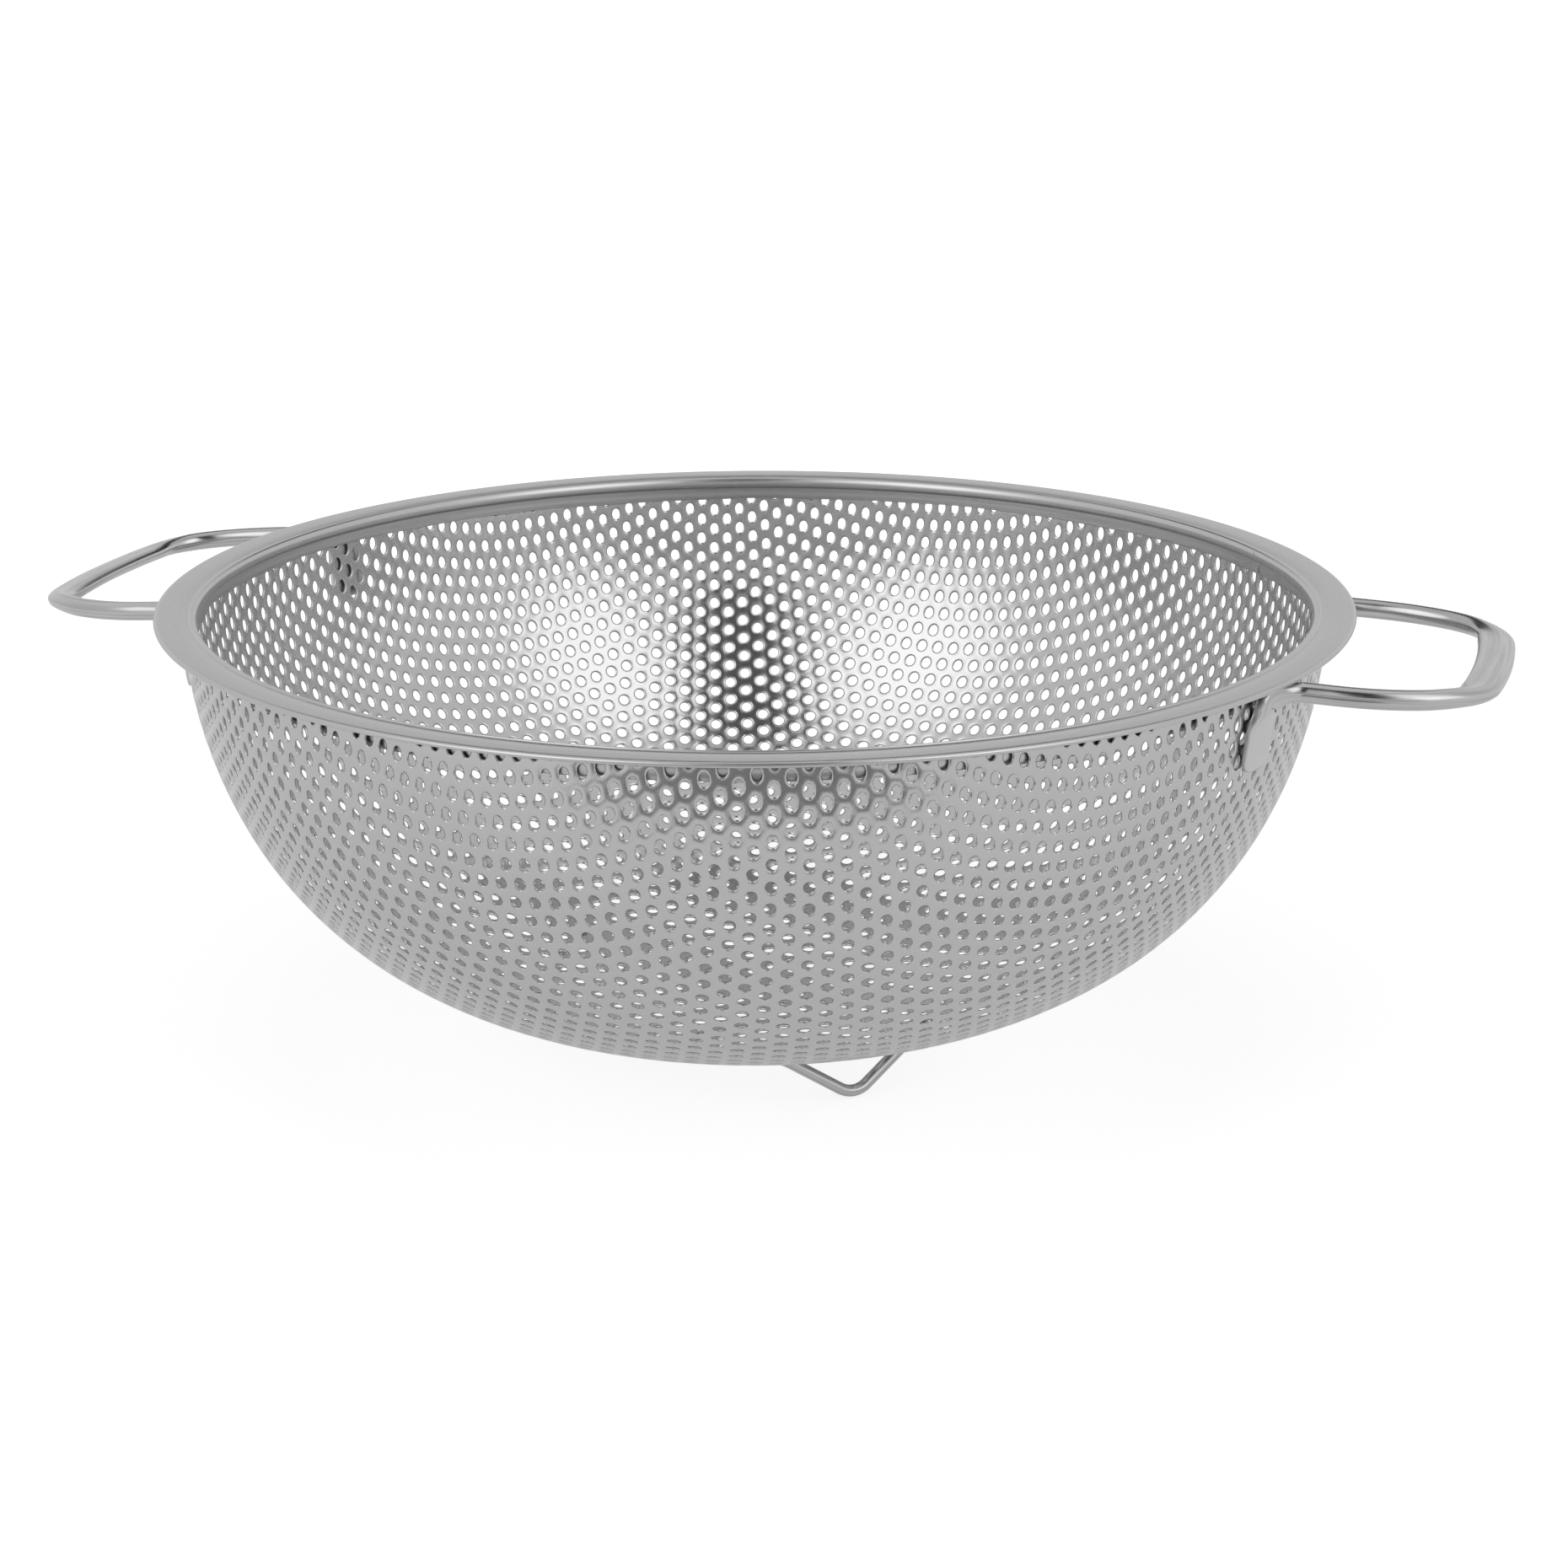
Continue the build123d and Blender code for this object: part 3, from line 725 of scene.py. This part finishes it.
# %% Handles
HANDLE_REACH = 31.4
ROD = 4.5
GRIP = (8.4, 3.2)
GRIP_DROP = 0.43
GRIP_FLAT, GRIP_RUNOUT = 20.0, 17.0
PLAN_RADII = (208.0, 49.0, 12.6, 23.0, 42.0, 55.0)
PLAN_TURNS = np.radians([5.0, 7.0, 26.0, 30.0, 16.5, 5.5])
TAB = (10.5, 1.65)
TAB_AZIMUTH = math.radians(19.5)
TAB_LENGTH, TAB_START = 20.5, 6.2
TAB_GAP = 0.5
TAB_ROUND = 3.4
LEG_END, LEG_PULL = 5.0, 5.5
TAB_WELDS = (8.5, 14.5)
UNDER_FLANGE = RIM_TOP - HEM - 0.1


def plan_at(run):
    """Reach, side and heading of a half handle at a run from the middle of the grip."""
    reach, side, heading = RIM_RADIUS + HANDLE_REACH, 0.0, 0.0
    for bend, turn in zip(PLAN_RADII, PLAN_TURNS):
        ahead = heading + min(run / bend, turn)
        reach -= bend * (math.cos(heading) - math.cos(ahead))
        side += bend * (math.sin(ahead) - math.sin(heading))
        run -= bend * (ahead - heading)
        heading = ahead
    return reach, side, heading


def leg_rings(droop, mirror, lift):
    """Outlines of half a handle from the middle of the grip to the rim, and its last centre and heading."""
    slope = np.array([math.cos(droop), 0, -math.sin(droop)])
    up = np.array([math.sin(droop), 0, math.cos(droop)])
    whole = float(np.dot(PLAN_RADII, PLAN_TURNS))
    rings = []
    for run in np.linspace(0, whole, 56):
        reach, side, heading = plan_at(run)
        flat = 1 - ease((run - GRIP_FLAT) / GRIP_RUNOUT)
        height = UNDER_FLANGE - ROD / 2 + lift * ease(run / whole)
        start = np.array([MOUTH_RADIUS, mirror * side, height])
        centre = start + slope * (reach - MOUTH_RADIUS) - up * GRIP_DROP * flat
        across = slope * math.cos(heading) + np.array([0, mirror * math.sin(heading), 0])
        width, height = ROD + (GRIP[0] - ROD) * flat, ROD + (GRIP[1] - ROD) * flat
        rings.append(oval(centre, across, up, width, height, 2 + 0.6 * flat))
    inward = -slope * math.sin(heading) + np.array([0, mirror * math.cos(heading), 0])
    return rings, centre, inward


def wall_at(depth):
    """Radius of the bowl's outside at a depth below the rim."""
    return ARCS[0][1] + ARCS[0][0] * math.cos(math.asin(depth / ARCS[0][0]))


def tab_rings(mirror, centre, inward):
    """Outlines from the rod's end into the flat tab: under the flange, round one bend and down the wall."""
    turn = mirror * TAB_AZIMUTH
    outward = np.array([math.cos(turn), math.sin(turn), 0])
    upright = np.array([0, 0, 1.0])
    high, low = TAB_WELDS
    tilt = math.atan2(wall_at(high) - wall_at(low), low - high)
    down = -upright * math.cos(tilt) - outward * math.sin(tilt)
    face = outward * math.cos(tilt) - upright * math.sin(tilt)
    rings = []
    start = centre + inward * LEG_END
    goal = outward * (wall_at(TAB_START) + TAB_GAP + TAB[1] / 2) + upright * (RIM_TOP - TAB_START)
    bent = goal + face * (ROD - TAB[1]) / 4
    ahead, back = start + inward * LEG_PULL, bent - down * (start[2] - bent[2])
    for share in np.linspace(0, 1, 19):
        rest = 1 - share
        curve = rest**3 * start + 3 * rest**2 * share * ahead + 3 * rest * share**2 * back + share**3 * bent
        heading = rest**2 * (ahead - start) + 2 * rest * share * (back - ahead) + share**2 * (bent - back)
        heading = heading / np.linalg.norm(heading)
        normal = face - heading * (face @ heading)
        normal = normal / np.linalg.norm(normal)
        part = 0.5 * ease(share * 1.2 - 0.2)
        width, thick = ROD + (TAB[0] - ROD) * part, ROD + (TAB[1] - ROD) * part
        rings.append(oval(curve, np.cross(heading, normal), normal, width, thick, 2 + 3 * part))
    length = TAB_LENGTH - TAB_START
    near_end = [length - short for short in (TAB_ROUND, 2.4, 1.4, 0.6, 0.15, 0.0)]
    for run in [0.8, 1.6, 2.5, 3.5, 5.0, 7.5] + near_end:
        end = max(0.0, (run - length + TAB_ROUND) / TAB_ROUND)
        part = 0.5 + 0.5 * ease(run / 5)
        width = ROD + (TAB[0] - ROD) * part - 5.6 * (1 - math.sqrt(max(0.0, 1 - end**2)))
        thick = ROD + (TAB[1] - ROD) * part - (0.35 if run == length else 0.0)
        middle = goal + down * run + face * (thick - TAB[1]) / 2
        rings.append(oval(middle, np.cross(down, face), face, width, thick, 2 + 3 * part))
    return rings


def handle_shape(droop, lifts):
    """Outlines of both halves of a handle on the +X side, from the grip to the tabs."""
    halves = []
    for mirror, lift in zip((-1, 1), lifts):
        rings, *end = leg_rings(math.radians(droop), mirror, lift)
        halves.append(rings + tab_rings(mirror, *end))
    first = [ring[::-1] for ring in halves[0][::-1]]
    return first, halves[1]


def add_handle(name, droop, lifts, turned):
    """Add one handle, turned half round the axis for the left side."""
    left, right = handle_shape(droop, lifts)
    rings = align_rings(left + right[1:])
    points, faces, uv = skinned(rings)
    points = points * (np.array([-1, -1, 1]) if turned else np.ones(3))
    make_piece(name, points, faces, HANDLE_FINISH, [name], uv)


def align_rings(rings):
    """Give every outline the same sense and first point as the one before it."""
    done = [rings[0]]
    for ring in rings[1:]:
        options = [np.roll(way, shift, 0) for way in (ring, ring[::-1]) for shift in range(len(ring))]
        costs = [np.linalg.norm((way - way.mean(0)) - (done[-1] - done[-1].mean(0)), axis=1).sum() for way in options]
        done.append(options[int(np.argmin(costs))])
    return done


add_handle("handle_right", 2.1, (-0.2, -0.4), False)
add_handle("handle_left", 4.5, (0.0, -1.1), True)

# %% [markdown]
# ## Feet
#
# Each foot is a short wire bent into a V with its tip on the ground. Its two ends turn level and are welded
# under the base. The corners are rounded with arcs as a bending jig leaves them.

# %% Feet
FOOT_WIRE = 2.8
FOOT_RADIUS, FOOT_HALF_SPAN, FOOT_LEAN, FOOT_PAD = 54.0, 17.5, 3.5, 7.0
FOOT_BENDS = (9.0, 6.0, 9.0)
FOOT_ROUND = 0.35
FOOT_AZIMUTHS = {"foot_front": -48.5, "foot_back": 71.5, "foot_left": 191.5}


def base_height(radius):
    """Height of the bowl's outside at a radius on its base or knuckle."""
    distances = np.linspace(0, WALL_LENGTH, 4000)
    r, z = skin(distances, 0.0)
    return float(np.interp(-radius, -r, z))


def rounded_path(corners, bends, step=0.5):
    """Points along straight runs with a round bend at each inner corner."""
    path = [corners[0]]
    for before, corner, after, bend in zip(corners, corners[1:], corners[2:], bends):
        arrive = (corner - before) / np.linalg.norm(corner - before)
        leave = (after - corner) / np.linalg.norm(after - corner)
        turn = math.acos(np.clip(arrive @ leave, -1, 1))
        trim = bend * math.tan(turn / 2)
        start = corner - arrive * trim
        normal = leave - arrive * (arrive @ leave)
        normal = normal / np.linalg.norm(normal)
        steps = max(6, int(bend * turn / step))
        for angle in np.linspace(0, turn, steps):
            path.append(start + arrive * bend * math.sin(angle) + normal * bend * (1 - math.cos(angle)))
    return np.array(path + [corners[-1]])


def foot_rings(azimuth):
    """Outlines of one foot's wire."""
    knee_r = math.hypot(FOOT_RADIUS - FOOT_LEAN, FOOT_HALF_SPAN)
    knee_z = base_height(knee_r) - 0.1 - FOOT_WIRE / 2
    end_side, end_lean = FOOT_HALF_SPAN + FOOT_PAD * 0.8, FOOT_LEAN + FOOT_PAD * 0.6
    end_z = base_height(math.hypot(FOOT_RADIUS - end_lean, end_side)) - 0.05 - FOOT_WIRE / 2
    outward = np.array([math.cos(azimuth), math.sin(azimuth), 0])
    sideways = np.array([-math.sin(azimuth), math.cos(azimuth), 0])
    upright = np.array([0, 0, 1.0])

    def spot(side, inward, z):
        return outward * (FOOT_RADIUS - inward) + sideways * side + upright * z

    half_turn = math.atan2(knee_z - FOOT_WIRE / 2, math.hypot(FOOT_HALF_SPAN, FOOT_LEAN))
    tip_z = FOOT_WIRE / 2 - FOOT_BENDS[1] * (1 / math.cos(half_turn) - 1)
    corners = [spot(-end_side, end_lean, end_z), spot(-FOOT_HALF_SPAN, FOOT_LEAN, knee_z),
               spot(0, 0, tip_z), spot(FOOT_HALF_SPAN, FOOT_LEAN, knee_z),
               spot(end_side, end_lean, end_z)]
    path = rounded_path(corners, FOOT_BENDS)
    headings = np.gradient(path, axis=0)
    rings = []
    lean = np.cross(corners[1] - corners[2], corners[3] - corners[2])
    lean = lean / np.linalg.norm(lean)
    last = len(path) - 1
    for place, (centre, heading) in enumerate(zip(path, headings)):
        heading = heading / np.linalg.norm(heading)
        across = np.cross(heading, lean)
        across = across / np.linalg.norm(across)
        inset = heading * (FOOT_ROUND * ((place == 0) - (place == last)))
        rings.append(oval(centre + inset, lean, across, FOOT_WIRE, FOOT_WIRE, 2))
        if place in (0, last):
            cap = oval(centre, lean, across, FOOT_WIRE - 2 * FOOT_ROUND, FOOT_WIRE - 2 * FOOT_ROUND, 2)
            rings.insert(0 if place == 0 else len(rings), cap)
    return rings


for name, degrees in FOOT_AZIMUTHS.items():
    points_of_foot, faces, uv = skinned(align_rings(foot_rings(math.radians(degrees))))
    make_piece(name, points_of_foot, faces, FOOT_FINISH, [name], uv)

# %% [markdown]
# ## Floor, room and lamps
#
# Polished metal shows the room it stands in, so the room is most of its look. The colander stands on a plain
# pale floor in a white room. The room is white to the camera, a little less so to reflections, and it lights
# everything else at a lower level. The floor keeps a trace of the object's shadow.

# %% Floor and room
REFLECTED = 0.78
ROOM_LIGHT = 0.6
FLOOR_SIDE = 12
FLOOR_LEVEL = 0.55
FLOOR_LIFT = 0.5
FLOOR_GLOW = 0.16
FAR_GLOW, FAR_RANGE = 0.34, (0.25, 0.9)
NEAR_GLOW, NEAR_RANGE = 0.1, (0.05, 0.12)


def seen_directly(start):
    """Share of the white room that a ray sees: all for the camera, most for a reflection, none for other light."""
    path = start.node("ShaderNodeLightPath")
    outputs = {socket.name: Signal(start.tree, socket) for socket in path.socket.node.outputs}
    seen = outputs["Is Camera Ray"] + outputs["Is Transmission Ray"] + REFLECTED * outputs["Is Glossy Ray"]
    return start.sum("MINIMUM", seen, 1.0), outputs["Is Camera Ray"]


def stage_material(name, level):
    """Plain matt material for the floor or a flag, with its shader."""
    material = bpy.data.materials.new(name)
    material.use_nodes = True
    shader = material.node_tree.nodes["Principled BSDF"]
    shader.inputs["Base Color"].default_value = grey(level)
    shader.inputs["Roughness"].default_value = 1.0
    shader.inputs["Specular IOR Level"].default_value = 0.0
    return material, shader


def pale_floor():
    """Pale floor that looks white away from the object and keeps its shadow near it."""
    material, shader = stage_material("floor", FLOOR_LEVEL)
    start = Signal(material.node_tree)
    place = start.node("ShaderNodeTexCoord", output=3)
    reach = start.node("ShaderNodeVectorMath", {"operation": "LENGTH"}, {0: place}, 1)
    seen, camera = seen_directly(start)
    shader.inputs["Emission Color"].default_value = grey(1.0)
    glow = FLOOR_GLOW + FAR_GLOW * reach.ramp(*FAR_RANGE) + NEAR_GLOW * (1 - reach.ramp(*NEAR_RANGE))
    join(seen * FLOOR_LIFT + camera * glow, shader, "Emission Strength")
    return material


def add_sheet(name, centre, across, up, width, height, material):
    """Add a flat stage sheet at a place in metres."""
    across, up = Vector(across) * width / 2, Vector(up) * height / 2
    centre = Vector(centre)
    mesh = bpy.data.meshes.new(name)
    corners = [centre - across - up, centre + across - up, centre + across + up, centre - across + up]
    mesh.from_pydata([tuple(c) for c in corners], [], [(0, 1, 2, 3)])
    mesh.materials.append(material)
    sheet = bpy.data.objects.new(name, mesh)
    bpy.context.scene.collection.objects.link(sheet)
    return sheet


add_sheet("floor", (0, 0, 0), (1, 0, 0), (0, 1, 0), FLOOR_SIDE, FLOOR_SIDE, pale_floor())


def white_room(strength):
    """World that is white to the camera and to reflections, and lights the rest at a plain level."""
    world = bpy.data.worlds.new("room")
    world.use_nodes = True
    bpy.context.scene.world = world
    start = Signal(world.node_tree)
    seen = seen_directly(start)[0]
    background = world.node_tree.nodes["Background"]
    background.inputs["Color"].default_value = grey(1.0)
    join(start.sum("MAXIMUM", seen, strength), background, "Strength")


white_room(ROOM_LIGHT)

# %% [markdown]
# ## Lamps, flags and cards
#
# Two tall soft lamps stand in front, left and right of the camera, each with a smaller and brighter core. A
# concave wall swaps the sides, so each lamp lights the opposite half of the inside. A black flag behind the
# camera makes the dark band between the two bright fields, and one high over the far side darkens the flange.
# A grey card low in front and another on the floor tone the rim and the outside. Only reflections see the flags
# and the cards.

# %% Lamps
LAMPS = {
    "lamp_left": (-45.5, 38, 1.5, 1.12, 1.6, 0.58),
    "lamp_left_core": (-43, 36, 1.4, 0.65, 1.0, 0.2),
    "lamp_right": (46, 39, 1.5, 0.96, 1.6, 0.5),
    "lamp_right_core": (44, 39, 1.4, 0.6, 1.1, 0.24),
}


def add_lamp(name, side, elevation, distance, width, height, brightness):
    """Add a soft lamp at an azimuth beside the camera, aimed at the bowl; a brightness of 1 looks white."""
    toward = level_vector(CAMERA_AZIMUTH + math.radians(side), math.radians(elevation))
    lamp = bpy.data.objects.new(name, bpy.data.lights.new(name, "AREA"))
    lamp.data.shape = "ELLIPSE"
    lamp.data.size, lamp.data.size_y = width, height
    lamp.data.energy = brightness * math.pi * width * height
    lamp.location = Vector((0, 0, RIM_TOP * MM)) + toward * distance
    lamp.rotation_euler = toward.to_track_quat("Z", "Y").to_euler()
    bpy.context.scene.collection.objects.link(lamp)
    return lamp


for name, sizes in LAMPS.items():
    print(add_lamp(name, *sizes).name, "side, elevation, distance, width, height, brightness", sizes)

# %% Flags and cards
BLACK, GREY = stage_material("black_flag", 0.03)[0], stage_material("grey_card", 0.3)[0]
CARD_LIFT = 0.001


def add_flag(name, centre, toward, width, height, finish):
    """Add a card that only reflections see."""
    toward = Vector(toward).normalized()
    across = Vector((0, 0, 1)).cross(toward).normalized()
    if across.length < 0.5:
        across = level_vector(CAMERA_AZIMUTH + math.pi / 2)
    flag = add_sheet(name, centre, across, toward.cross(across), width, height, finish)
    flag.visible_camera = flag.visible_diffuse = flag.visible_shadow = False
    return flag


behind_camera = level_vector(CAMERA_AZIMUTH + math.radians(4), math.radians(51))
add_flag("flag_behind_camera", behind_camera * 1.3, behind_camera, 0.48, 1.4, BLACK)
far_side = level_vector(CAMERA_AZIMUTH + math.pi, math.radians(41))
add_flag("flag_over_backdrop", far_side * 1.6, far_side, 1.1, 0.6, BLACK)
low_front = level_vector(CAMERA_AZIMUTH, math.radians(9))
add_flag("card_low_in_front", low_front * 1.25 + Vector((0, 0, RIM_TOP * MM)), low_front, 1.5, 0.13, GREY)
beside = level_vector(CAMERA_AZIMUTH - math.radians(1))
nearly_up = (beside.x * CARD_LIFT, beside.y * CARD_LIFT, 1)
add_flag("card_on_floor", beside * 0.58 + Vector((0, 0, CARD_LIFT)), nearly_up, 0.3, 0.6, GREY)

# %% [markdown]
# ## View settings
#
# The Standard view shows the greys without a film curve.

# %% View settings
bpy.context.scene.view_settings.view_transform = "Standard"
